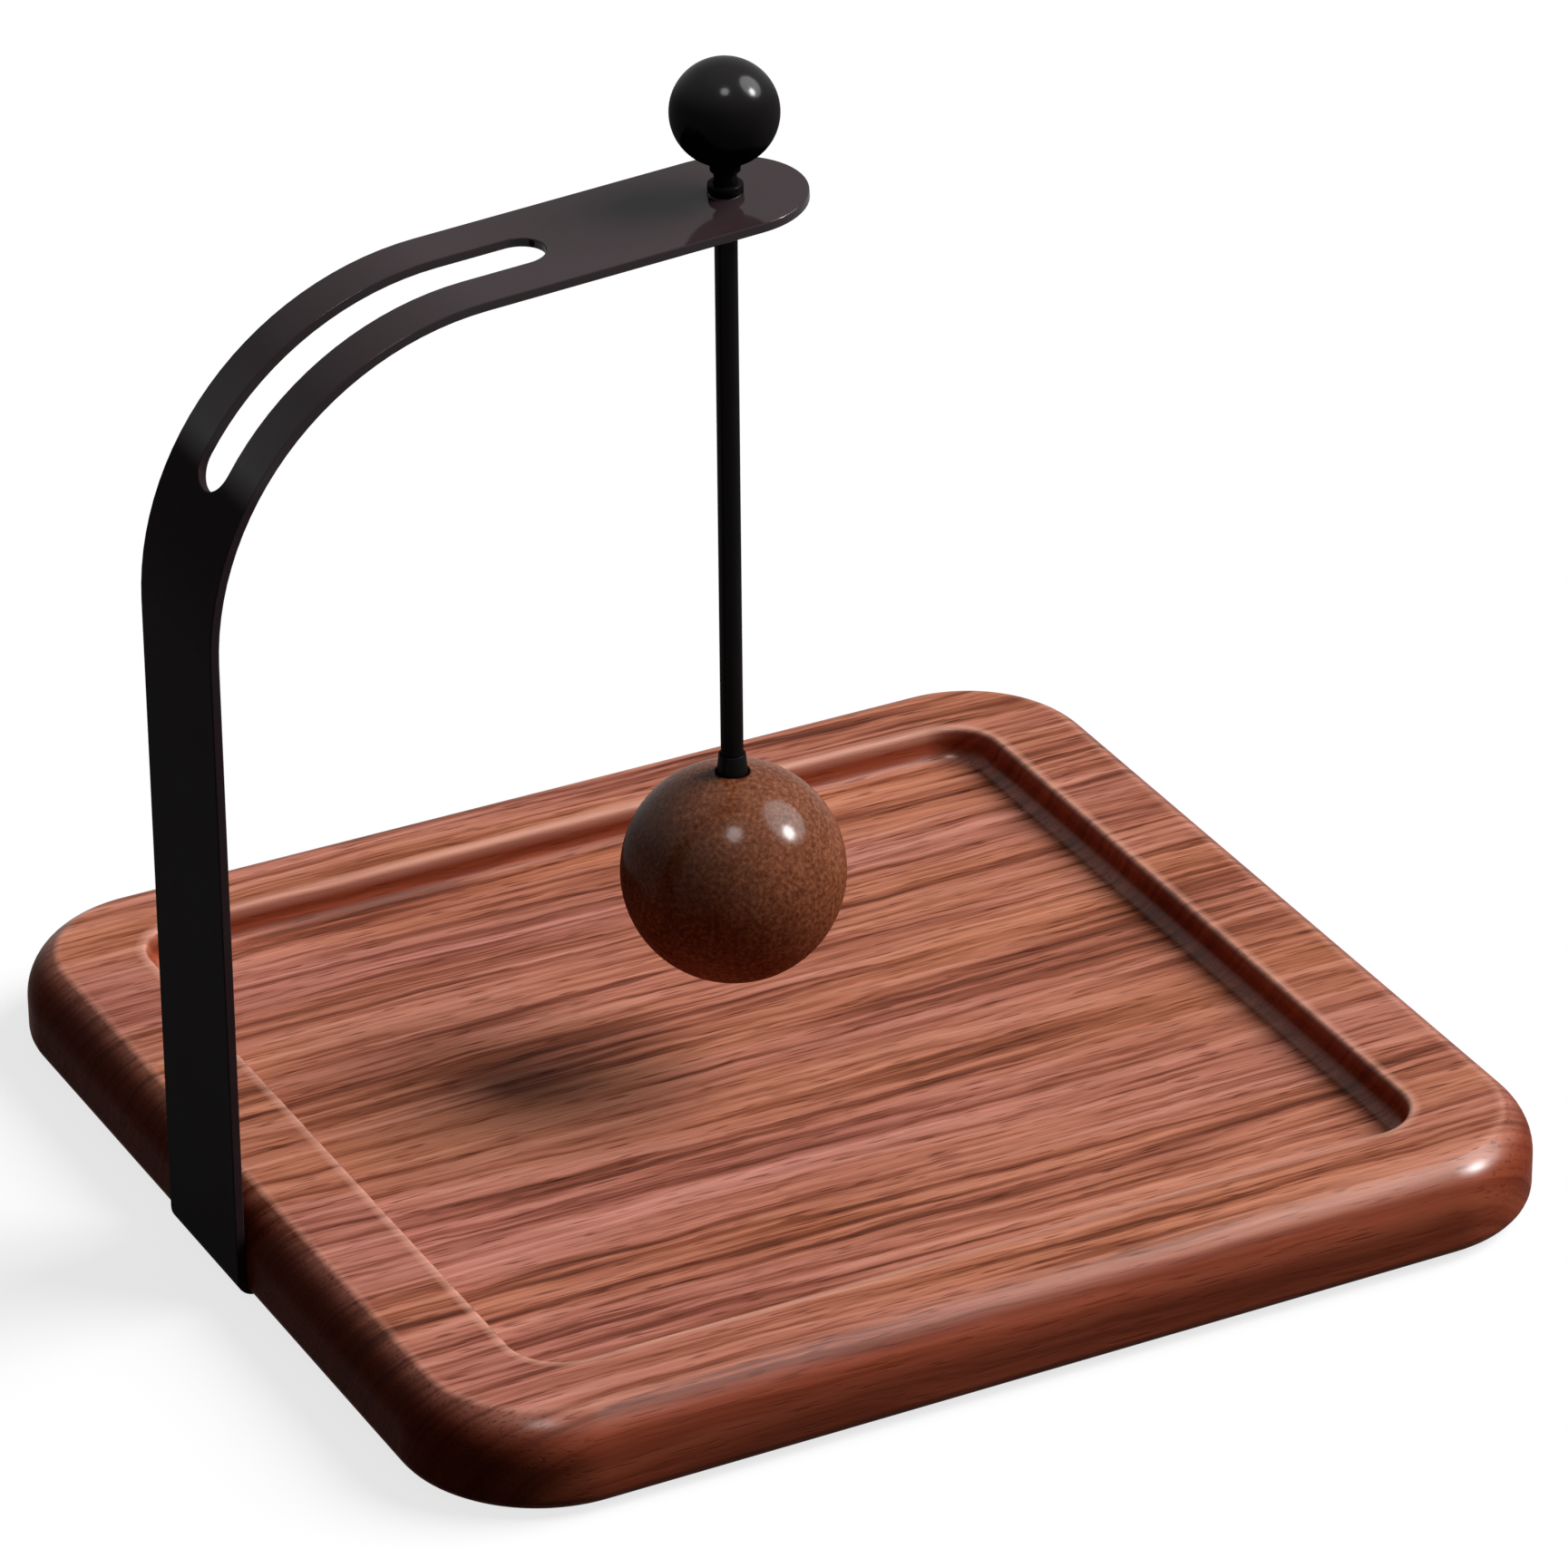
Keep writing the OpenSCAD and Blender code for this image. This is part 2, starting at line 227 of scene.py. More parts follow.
def tray_board():
    """The tray: its outer edge and its recess are taken round, then joined by the rim, floor and underside."""
    low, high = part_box("tray")
    centre = (low + high) / 2
    half_l, half_w = (high.x - low.x) / 2, (high.y - low.y) / 2
    bm = bmesh.new()
    marks = bm.verts.layers.float
    for name in ("wear_and_highlight", "recessed"):
        marks.new(name)
    wear_and_highlight, recessed = marks["wear_and_highlight"], marks["recessed"]

    # The outer edge: a rounded top that meets the rim at a tilt, a plain side and a rounded foot
    start_y = centre.y - half_w + TRAY_CORNER_R
    edge_centre = Vector((high.x - TRAY_EDGE_R, start_y, high.z - TRAY_EDGE_R * math.cos(TRAY_EDGE_TILT)))
    arris = edge_centre + TRAY_EDGE_R * Vector((math.sin(TRAY_EDGE_TILT), 0, math.cos(TRAY_EDGE_TILT)))
    edge = line_to(bm, bm.verts.new(arris - Vector((EDGE_FADE, 0, 0))), arris)
    vert = arc_on(bm, edge, edge_centre, QUARTER_TURN - TRAY_EDGE_TILT, EDGE_STEPS)
    vert = line_to(bm, vert, (high.x, start_y, low.z + TRAY_FOOT_R))
    arc_on(bm, vert, (high.x - TRAY_FOOT_R, start_y, low.z + TRAY_FOOT_R), QUARTER_TURN, SMALL_STEPS)
    # Pale edge at the arris: partly wear, partly a painted highlight
    edge[wear_and_highlight] = EDGE_WEAR_AND_HIGHLIGHT
    take_round(bm, bm.edges[:], centre, half_l, half_w, TRAY_CORNER_R)
    outside = set(bm.verts)

    # The recess: a rounded lip that carries the pale edge of wear and painted highlight, a wall and a coved foot
    wall_x = high.x - RIM_END_W
    floor_z = high.z - RECESS_DEPTH
    start_y = centre.y - half_w + RIM_SIDE_W + RECESS_CORNER_R
    rim_end = bm.verts.new((wall_x + RECESS_LIP_R + EDGE_FADE, start_y, high.z))
    lip = line_to(bm, rim_end, (wall_x + RECESS_LIP_R, start_y, high.z))
    vert = arc_on(bm, lip, (wall_x + RECESS_LIP_R, start_y, high.z - RECESS_LIP_R), -QUARTER_TURN, SMALL_STEPS)
    vert = line_to(bm, vert, (wall_x, start_y, floor_z + RECESS_COVE_R))
    arc_on(bm, vert, (wall_x - RECESS_COVE_R, start_y, floor_z + RECESS_COVE_R), QUARTER_TURN, SMALL_STEPS)
    section = [e for e in bm.edges if e.is_wire]
    for vert in {v for e in section for v in e.verts}:
        # Pale edge at the lip: partly wear, partly a painted highlight
        vert[wear_and_highlight] = float(high.z - RECESS_LIP_R < vert.co.z and vert is not rim_end)
        vert[recessed] = 1
    take_round(bm, section, centre, half_l - RIM_END_W, half_w - RIM_SIDE_W, RECESS_CORNER_R)

    # The rim's two loops are joined one above the other, which pairs their corners, and then set level
    recess = [v for v in bm.verts if v not in outside]
    bmesh.ops.translate(bm, vec=UP * RIM_END_W, verts=recess)
    bmesh.ops.bridge_loops(bm, edges=open_edges_at(bm, high.z) + open_edges_at(bm, high.z + RIM_END_W))
    bmesh.ops.translate(bm, vec=-UP * RIM_END_W, verts=recess)
    bmesh.ops.contextual_create(bm, geom=open_edges_at(bm, floor_z))
    bmesh.ops.contextual_create(bm, geom=open_edges_at(bm, low.z))
    bmesh.ops.recalc_face_normals(bm, faces=bm.faces)
    arris_edges = [e for e in sharp_edges(bm, ARRIS_ANGLE)
                   if all(abs(v.co.z - high.z) < MERGE_GAP for v in e.verts)]
    soften(bm, arris_edges, TRAY_ARRIS)
    return bm


def foot_rebate(bm):
    """Room under the tray for the arm's foot, with the tray's edge rounded to the inside of the strip's bend."""
    low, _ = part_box("tray")
    foot_low, foot_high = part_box("arm")
    y = foot_low.y - FIT_GAP
    inner_x = foot_low.x + FOOT_L + FIT_GAP
    under_z, ceiling_z = low.z - CUT_OVER, low.z + STRIP_T
    bend = Vector((low.x + FOOT_BEND_IN_R, y, ceiling_z + FOOT_BEND_IN_R))
    start = bm.verts.new((low.x - CUT_OVER, y, under_z))
    vert = line_to(bm, start, (inner_x, y, under_z))
    vert = line_to(bm, vert, (inner_x, y, ceiling_z))
    vert = line_to(bm, vert, (bend.x, y, ceiling_z))
    vert = arc_on(bm, vert, bend, QUARTER_TURN, SMALL_STEPS)
    vert = line_to(bm, vert, (low.x - CUT_OVER, y, bend.z))
    bmesh.ops.contextual_create(bm, geom=[vert, start])
    side = bmesh.ops.contextual_create(bm, geom=bm.edges[:])["faces"]
    drawn = bmesh.ops.extrude_face_region(bm, geom=side)["geom"]
    bmesh.ops.translate(bm, vec=ACROSS * (foot_high.y + FIT_GAP - y), verts=vertices(drawn))
    bmesh.ops.recalc_face_normals(bm, faces=bm.faces)


def tray_seats():
    """What is cut out of the tray's underside: the rebate for the arm's foot, and the seats of screws and pads."""
    low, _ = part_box("tray")
    bm = bmesh.new()
    foot_rebate(bm)
    seats = [("arm_screw_" + side, SCREW_R + FIT_GAP, SCREW_L) for side in SIDES]
    seats += [("foot_pad_%s_%s" % (side, end), None, PAD_SEAT) for side in SIDES for end in ENDS]
    for node, radius, depth in seats:
        seat_low, seat_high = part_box(node)
        radius = radius or (seat_high.x - seat_low.x) / 2 + FIT_GAP
        middle = (seat_low + seat_high) / 2
        middle.z = low.z + (depth - CUT_OVER) / 2
        bmesh.ops.create_cone(bm, cap_ends=True, segments=SEAT_STEPS, radius1=radius, radius2=radius,
                              depth=depth + CUT_OVER, matrix=Matrix.Translation(middle))
    return bm


def cut_away(piece, bm):
    """Cuts a mesh out of a piece for good, before the piece's normals are evened."""
    mesh = bpy.data.meshes.new("cut")
    bm.to_mesh(mesh)
    bm.free()
    cutter = bpy.data.objects.new("cut", mesh)
    bpy.context.scene.collection.objects.link(cutter)
    cut = piece.modifiers.new("cut", "BOOLEAN")
    cut.object = cutter
    cut.solver = "EXACT"
    normals = piece.modifiers["even_normals"]
    normals.show_viewport = False
    shown = piece.evaluated_get(bpy.context.evaluated_depsgraph_get())
    done = bmesh.new()
    done.from_mesh(bpy.data.meshes.new_from_object(shown))
    piece.modifiers.remove(cut)
    normals.show_viewport = True
    bpy.data.objects.remove(cutter)
    bpy.data.meshes.remove(mesh)
    done.to_mesh(piece.data)
    done.free()


def press_rod_mesh():
    """The rod, with its ends softened."""
    low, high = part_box("press_rod")
    x = (low.x + high.x) / 2
    return turned_piece(outline([
        ((x, 0, low.z), 0), ((x + ROD_R, 0, low.z), FINE_EDGE),
        ((x + ROD_R, 0, high.z), FINE_EDGE), ((x, 0, high.z), 0)]), x)


def stop_collar_mesh():
    """The ring on the rod, from half way up its hole and round to there again."""
    low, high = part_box("stop_collar")
    x = (low.x + high.x) / 2
    half_way = (x + ROD_HOLE_R, 0, (low.z + high.z) / 2)
    return turned_piece(outline([
        (half_way, 0), ((x + ROD_HOLE_R, 0, low.z), FINE_EDGE),
        ((high.x, 0, low.z), RING_EDGE), ((high.x, 0, high.z), RING_EDGE),
        ((x + ROD_HOLE_R, 0, high.z), FINE_EDGE), (half_way, 0)]), x)


def top_knob_mesh():
    """The ball knob, which a fillet leads into its neck, with the hole for the rod."""
    low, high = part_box("top_knob")
    x = (low.x + high.x) / 2
    centre = Vector((x, 0, high.z - KNOB_R))
    fillet_x = NECK_R + NECK_FILLET_R
    fillet_z = -math.sqrt((KNOB_R + NECK_FILLET_R) ** 2 - fillet_x ** 2)
    touch = math.atan2(fillet_x, fillet_z)
    hole_top = low.z + KNOB_HOLE_L
    bm = bmesh.new()
    vert = arc_on(bm, bm.verts.new((x, 0, high.z)), centre, touch, KNOB_STEPS)
    vert = arc_on(bm, vert, centre + Vector((fillet_x, 0, fillet_z)), QUARTER_TURN - touch, EDGE_STEPS)
    vert = line_to(bm, vert, (x + NECK_R, 0, low.z + FINE_EDGE))
    vert = arc_on(bm, vert, (x + NECK_R - FINE_EDGE, 0, low.z + FINE_EDGE), QUARTER_TURN, FINE_STEPS)
    vert = line_to(bm, vert, (x + ROD_HOLE_R, 0, low.z))
    vert = line_to(bm, vert, (x + ROD_HOLE_R, 0, hole_top))
    line_to(bm, vert, (x, 0, hole_top))
    return turned_piece(bm, x)


def ball_ferrule_mesh():
    """The tapered ferrule on the ball, from half way up its hole and round to there again."""
    low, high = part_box("ball_ferrule")
    x = (low.x + high.x) / 2
    half_way = (x + ROD_HOLE_R, 0, (low.z + high.z) / 2)
    return turned_piece(outline([
        (half_way, 0), ((x + ROD_HOLE_R, 0, low.z), 0),
        ((high.x, 0, low.z), 0), ((high.x, 0, low.z + FERRULE_SEAT), RING_EDGE),
        ((x + FERRULE_TOP_R, 0, high.z), FINE_EDGE), ((x + ROD_HOLE_R, 0, high.z), HAIR_EDGE),
        (half_way, 0)]), x)


def weight_ball_mesh():
    """The ball, with the hole for its ferrule and insert."""
    low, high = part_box("weight_ball")
    x = (low.x + high.x) / 2
    centre = Vector((x, 0, low.z + BALL_R))
    rim_angle = math.asin(BALL_HOLE_R / BALL_R)
    hole_floor = centre.z + BALL_R - FERRULE_SEAT - INSERT_L
    bm = bmesh.new()
    bottom = bm.verts.new((x, 0, low.z))
    vert = arc_on(bm, bottom, centre, rim_angle - math.pi, BALL_STEPS)
    vert = line_to(bm, vert, (x + BALL_HOLE_R, 0, hole_floor))
    line_to(bm, vert, (x, 0, hole_floor))
    return turned_piece(bm, x)


def foot_pad_mesh(node):
    """A round pad with a softened foot."""
    low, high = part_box(node)
    x, y = (low.x + high.x) / 2, (low.y + high.y) / 2
    bm = turned_piece(outline([
        ((x, 0, low.z), 0), ((high.x, 0, low.z), PAD_EDGE), ((high.x, 0, high.z), FINE_EDGE),
        ((x, 0, high.z), 0)]), x)
    bmesh.ops.translate(bm, vec=(0, y, 0), verts=bm.verts)
    return bm


# Materials

def feed(tree, socket, value):
    """Gives a socket a value or another node's output."""
    if isinstance(value, bpy.types.NodeSocket):
        tree.links.new(value, socket)
    else:
        socket.default_value = value


def add(tree, kind, inputs=None, **settings):
    """Adds a node with its settings and its inputs."""
    made = tree.nodes.new(kind)
    for key, value in settings.items():
        setattr(made, key, value)
    for key, value in (inputs or {}).items():
        feed(tree, made.inputs[key], value)
    return made


def noise(tree, place, scale=1.0, detail=2.0, roughness=0.5):
    """A soft noise from 0 to 1."""
    return add(tree, "ShaderNodeTexNoise", {
        "Vector": place, "Scale": scale, "Detail": detail, "Roughness": roughness}).outputs["Fac"]


def grain(tree, place, closeness, detail=2.0, roughness=0.5):
    """A soft noise that is drawn out: its closeness along each axis is given in waves to the metre."""
    drawn_out = add(tree, "ShaderNodeMapping", {"Vector": place, "Scale": closeness}).outputs["Vector"]
    return noise(tree, drawn_out, detail=detail, roughness=roughness)


def mark(tree, name):
    """A mark that the mesh itself carries."""
    return add(tree, "ShaderNodeAttribute", attribute_name=name).outputs["Fac"]


def sum_of(tree, a, b, operation="ADD"):
    """Two values added, or joined by another sum."""
    return add(tree, "ShaderNodeMath", {0: a, 1: b}, operation=operation).outputs["Value"]


def times(tree, a, b):
    """Two values multiplied."""
    return sum_of(tree, a, b, "MULTIPLY")


def size_of(tree, value):
    """A value without its sign."""
    return add(tree, "ShaderNodeMath", {0: value}, operation="ABSOLUTE").outputs["Value"]


def spread(tree, value, low, high, to_low, to_high):
    """A value's range carried over to another."""
    return add(tree, "ShaderNodeMapRange", {
        "Value": value, "From Min": low, "From Max": high,
        "To Min": to_low, "To Max": to_high}).outputs["Result"]


def between(tree, share, at_none, at_full):
    """A share from 0 to 1 carried over to another range."""
    return spread(tree, share, 0.0, 1.0, at_none, at_full)


def swing(tree, share, reach):
    """A share from 0 to 1 carried over to a swing to both sides of nothing."""
    return between(tree, share, -reach, reach)


def ramp(tree, value, stops):
    """A value turned into colours."""
    made = add(tree, "ShaderNodeValToRGB", {"Fac": value})
    points = made.color_ramp.elements
    while len(points) < len(stops):
        points.new(0.5)
    for point, (position, colour) in zip(points, stops):
        point.position = position
        point.color = (*colour, 1)
    return made.outputs["Color"]


def blend(tree, share, a, b, kind="MIX"):
    """Two colours blended."""
    inputs = {0: share, 6: a, 7: b}
    return add(tree, "ShaderNodeMix", inputs, data_type="RGBA", blend_type=kind).outputs[2]


def shaded(tree, share, colour, shade):
    """A colour with a share of a shade laid over it."""
    return blend(tree, share, colour, (*shade, 1), "MULTIPLY")


def new_finish(name):
    """A material, its tree and its shader."""
    finish = bpy.data.materials.new(name)
    finish.use_nodes = True
    return finish, finish.node_tree, finish.node_tree.nodes["Principled BSDF"]


def raise_skin(tree, shader, height, strength, depth):
    """Gives a surface the relief of its skin."""
    relief = add(tree, "ShaderNodeBump", {"Strength": strength, "Distance": depth, "Height": height})
    feed(tree, shader.inputs["Normal"], relief.outputs["Normal"])


# Skin of the painted, moulded and metal finishes
SKIN_DEPTH = 0.1 * MM
SMUDGE_EDGES = (0.35, 0.7)
SMUDGE_ROUGHENS = 0.1
SMUDGE_DULLS = 0.8

# Painted reflection: the coat's share is set by height, dull low down and fuller higher up; heights in
# millimetres, each with its share of the full gloss
ARM_PAINTED_REFLECTION = ((132.5, 0.08), (136.5, 1.0), (147.0, 0.62), (158.0, 1.0))
KNOB_PAINTED_REFLECTION = ((168.0, 0.05), (175.5, 0.24), (178.5, 1.0))
BALL_PAINTED_REFLECTION = ((46.0, 0.15), (53.0, 0.40), (56.5, 1.0))
REFLECTION_HEIGHT_FULL = 200.0


def skin_group():
    """Shared by most finishes: the unevenness of the skin, and soft smudges on it."""
    group = bpy.data.node_groups.new("skin", "ShaderNodeTree")
    for label, default in (("Grain Scale", 900.0), ("Smudge Scale", 60.0)):
        socket = group.interface.new_socket(label, in_out="INPUT", socket_type="NodeSocketFloat")
        socket.default_value = default
    for label in ("Height", "Smudge"):
        group.interface.new_socket(label, in_out="OUTPUT", socket_type="NodeSocketFloat")
    given = add(group, "NodeGroupInput").outputs
    place = add(group, "ShaderNodeTexCoord").outputs["Object"]
    height = noise(group, place, given["Grain Scale"], detail=3.0, roughness=0.55)
    cloud = noise(group, place, given["Smudge Scale"], detail=4.0, roughness=0.6)
    smudge = spread(group, cloud, *SMUDGE_EDGES, 0.0, 1.0)
    add(group, "NodeGroupOutput", {"Height": height, "Smudge": smudge})
    return group


SKIN = skin_group()


def painted_reflection_coat(tree, coat, heights):
    """A coat's share that is set brighter or duller from one height to the next, as a painted reflection."""
    place = add(tree, "ShaderNodeTexCoord").outputs["Object"]
    height = add(tree, "ShaderNodeSeparateXYZ", {"Vector": place}).outputs["Z"]
    height = spread(tree, height, 0.0, REFLECTION_HEIGHT_FULL * MM, 0.0, 1.0)
    shares = [(stop / REFLECTION_HEIGHT_FULL, (share, share, share)) for stop, share in heights]
    return times(tree, coat, ramp(tree, height, shares))


def skinned(name, colour, smudged, roughness, skin_scale, relief, gloss=0.0, reflection_heights=None, metallic=0.0):
    """A finish of one colour with an uneven skin and soft smudges.

    gloss is the share of a clear coat over it, which may be set brighter or duller by heights as a painted
    reflection.
    """
    finish, tree, shader = new_finish(name)
    skin = add(tree, "ShaderNodeGroup", {"Grain Scale": skin_scale}, node_tree=SKIN).outputs
    smudge = skin["Smudge"]
    feed(tree, shader.inputs["Base Color"], blend(tree, smudge, (*colour, 1), (*smudged, 1)))
    feed(tree, shader.inputs["Roughness"], between(tree, smudge, roughness, roughness + SMUDGE_ROUGHENS))
    raise_skin(tree, shader, skin["Height"], relief, SKIN_DEPTH)
    if gloss:
        coat = between(tree, smudge, gloss, SMUDGE_DULLS * gloss)
        feed(tree, shader.inputs["Coat Weight"], painted_reflection_coat(tree, coat, reflection_heights) if reflection_heights else coat)
        shader.inputs["Coat Roughness"].default_value = roughness
    shader.inputs["Metallic"].default_value = metallic
    shader.inputs["Specular IOR Level"].default_value = 0.0
    return finish


# Walnut: its own colours, the tints laid over them, a painted shade on its sides, darker end grain with painted
# shade on its ends, and pale edges that are partly wear and partly a painted highlight
WALNUT_DARK = (0.113, 0.033, 0.020)
WALNUT_BROWN = (0.263, 0.080, 0.046)
WALNUT_WARM = (0.448, 0.162, 0.104)
WALNUT_PALE = (0.60, 0.253, 0.179)
WALNUT_STOPS = ((0.30, WALNUT_DARK), (0.42, WALNUT_BROWN), (0.52, WALNUT_WARM), (0.68, WALNUT_PALE))
WALNUT_ROSY = (0.98, 0.97, 1.07)
WALNUT_GOLDEN = (1.04, 1.02, 0.88)
# Paler edge colour: partly wear, partly a painted highlight along the arris and the lip
WALNUT_EDGE_WEAR_AND_HIGHLIGHT = (0.66, 0.33, 0.24)
PORE_SHADE = (0.50, 0.42, 0.40)
SIDE_TONE = (0.405, 0.142, 0.090)
SIDE_EVENNESS = 0.5
# Painted shade: darkens every side face against the top
SIDE_PAINTED_SHADE = (0.66, 0.40, 0.29)
# Darker end grain, which is also a painted shade on the ends
END_GRAIN_DARK_AND_PAINTED_SHADE = (0.58, 0.47, 0.42)

# Middle of the tree that the board comes from
PITH = Vector((0, -340, -160)) * MM

# Walnut's grain: waves to the metre along the board, across it and through it, and how far each reaches
SLOW_WAVES = (5, 14, 14)
QUICK_WAVES = (55, 160, 160)
TONES = (4, 70, 1)
LINES = (11, 430, 1)
THREADS = (34, 1250, 1)
HUES = (7, 55, 1)
FIBRES = (60, 1500, 1500)
PORES = (140, 2300, 2300)
SLOW_REACH = 6 * MM
QUICK_REACH = 0.9 * MM
TONE_REACH = 0.16
THREAD_REACH = 0.15
HUE_EDGES = (0.35, 0.65)
FIBRE_EDGES = (0.25, 0.75)
FIBRE_SHADES = (0.82, 1.14)
PORE_EDGES = (0.31, 0.40)
PORE_HEIGHT = -1.2

# Where one look of the board goes over to the next: how far a face looks up, and how far along the board
SIDE_TO_ROUND = (0.35, 0.65)
SIDE_TO_TOP = (0.55, 0.92)
ROUND_TO_TOP = (0.92, 0.985)
SIDE_TO_END = (0.15, 0.75)

# Walnut's edge wear with its painted highlight, and its polish with its painted sheen
WEAR_AND_HIGHLIGHT_EDGES = (0.3, 0.7)
WEAR_AND_HIGHLIGHT_SHARES = (0.35, 0.85)
WEAR_AND_HIGHLIGHT_ACROSS = 0.25
WORN_SMOOTHS = 0.12
WALNUT_ROUGH_EDGES = (0.2, 1.4)
WALNUT_ROUGH = (0.34, 0.60)
# Coat share from the flat top to the rounded edge, where it gives a painted sheen
WALNUT_POLISH_AND_SHEEN = (0.05, 0.38)
END_GRAIN_POLISH = 0.1
WALNUT_COAT_ROUGH = 0.25
WALNUT_IOR = 1.03
WALNUT_RELIEF = 0.25
WALNUT_DEPTH = 0.15 * MM


def walnut_finish():
    """Oiled walnut: growth lines about a pith far off the board, with fibres and pores along the board."""
    finish, tree, shader = new_finish("walnut")
    coordinates = add(tree, "ShaderNodeTexCoord").outputs
    place = coordinates["Object"]

    # The growth of the tree is the distance from its pith, made wavy
    off_pith = add(tree, "ShaderNodeVectorMath", {0: place, 1: PITH}, operation="SUBTRACT").outputs["Vector"]
    flat = add(tree, "ShaderNodeVectorMath", {0: off_pith, 1: (0, 1, 1)}, operation="MULTIPLY").outputs["Vector"]
    growth = add(tree, "ShaderNodeVectorMath", {0: flat}, operation="LENGTH").outputs["Value"]
    growth = sum_of(tree, growth, swing(tree, grain(tree, place, SLOW_WAVES, detail=1.0), SLOW_REACH))
    growth = sum_of(tree, growth, swing(tree, grain(tree, place, QUICK_WAVES), QUICK_REACH))
    along = add(tree, "ShaderNodeSeparateXYZ", {"Vector": place}).outputs["X"]
    grown = add(tree, "ShaderNodeCombineXYZ", {"X": along, "Y": growth}).outputs["Vector"]

    # Lines, threads and hues follow the growth, fibres and pores the board
    lines = grain(tree, grown, LINES, detail=3.0, roughness=0.6)
    shade = sum_of(tree, lines, swing(tree, grain(tree, grown, TONES), TONE_REACH))
    shade = sum_of(tree, shade, swing(tree, grain(tree, grown, THREADS), THREAD_REACH))
    hue = spread(tree, grain(tree, grown, HUES), *HUE_EDGES, 0.0, 1.0)
    fibre = grain(tree, place, FIBRES, detail=3.0, roughness=0.6)
    pores = spread(tree, grain(tree, place, PORES, detail=1.0), *PORE_EDGES, 1.0, 0.0)
    colour = ramp(tree, shade, WALNUT_STOPS)
    colour = blend(tree, 1.0, colour, spread(tree, fibre, *FIBRE_EDGES, *FIBRE_SHADES), "MULTIPLY")
    colour = shaded(tree, pores, colour, PORE_SHADE)
    tint = blend(tree, hue, (*WALNUT_ROSY, 1), (*WALNUT_GOLDEN, 1))
    colour = blend(tree, 1.0, colour, tint, "MULTIPLY")

    # The sides' grain is calmer, and a painted shade makes the sides darker than the top; the outer ends are
    # darker still, as darker end grain and as painted shade
    facing = add(tree, "ShaderNodeSeparateXYZ", {"Vector": coordinates["Normal"]}).outputs
    side = spread(tree, size_of(tree, facing["Z"]), *SIDE_TO_TOP, 1.0, 0.0)
    across = spread(tree, size_of(tree, facing["X"]), *SIDE_TO_END, 0.0, 1.0)
    end_grain = times(tree, across, between(tree, mark(tree, "recessed"), 1.0, 0.0))
    colour = blend(tree, times(tree, side, SIDE_EVENNESS), colour, (*SIDE_TONE, 1))
    # Painted shade on the sides
    colour = shaded(tree, side, colour, SIDE_PAINTED_SHADE)
    # Darker end grain and painted shade on the outer ends
    colour = shaded(tree, end_grain, colour, END_GRAIN_DARK_AND_PAINTED_SHADE)

    # Edges are paler and smoother, partly from wear and partly as a painted highlight, less so across the grain
    wear_and_highlight = times(tree, mark(tree, "wear_and_highlight"), spread(tree, lines, *WEAR_AND_HIGHLIGHT_EDGES, *WEAR_AND_HIGHLIGHT_SHARES))
    wear_and_highlight = times(tree, wear_and_highlight, between(tree, across, 1.0, WEAR_AND_HIGHLIGHT_ACROSS))
    feed(tree, shader.inputs["Base Color"], blend(tree, wear_and_highlight, colour, (*WALNUT_EDGE_WEAR_AND_HIGHLIGHT, 1)))
    rough = spread(tree, sum_of(tree, fibre, pores), *WALNUT_ROUGH_EDGES, *WALNUT_ROUGH)
    rough = sum_of(tree, rough, times(tree, wear_and_highlight, WORN_SMOOTHS), "SUBTRACT")
    feed(tree, shader.inputs["Roughness"], rough)
    height = sum_of(tree, fibre, times(tree, pores, PORE_HEIGHT))
    raise_skin(tree, shader, height, WALNUT_RELIEF, WALNUT_DEPTH)

    # The coat is strongest on the rounded edge, where it makes a painted sheen band, and weaker on the end grain
    rounded = times(tree, spread(tree, facing["Z"], *ROUND_TO_TOP, 1.0, 0.0),
                    spread(tree, facing["Z"], *SIDE_TO_ROUND, 0.0, 1.0))
    polish_and_sheen = times(tree, between(tree, rounded, *WALNUT_POLISH_AND_SHEEN), between(tree, end_grain, 1.0, END_GRAIN_POLISH))
    feed(tree, shader.inputs["Coat Weight"], polish_and_sheen)
    shader.inputs["Coat Roughness"].default_value = WALNUT_COAT_ROUGH
    shader.inputs["IOR"].default_value = WALNUT_IOR
    return finish


# Lacquer of the ball
BALL_DARK = (0.104, 0.027, 0.010)
BALL_BROWN = (0.176, 0.055, 0.024)
BALL_PALE = (0.28, 0.103, 0.051)
BALL_STOPS = ((0.34, BALL_DARK), (0.50, BALL_BROWN), (0.68, BALL_PALE))
BALL_SKIN = 700.0
BALL_MOTTLE = 1450.0
BALL_CLOUDS = 110.0
CLOUD_REACH = 0.10
BALL_ROUGH = (0.4, 0.5)
BALL_GLOSS = (0.26, 0.20)
BALL_COAT_ROUGH = 0.15
BALL_RELIEF = 0.10


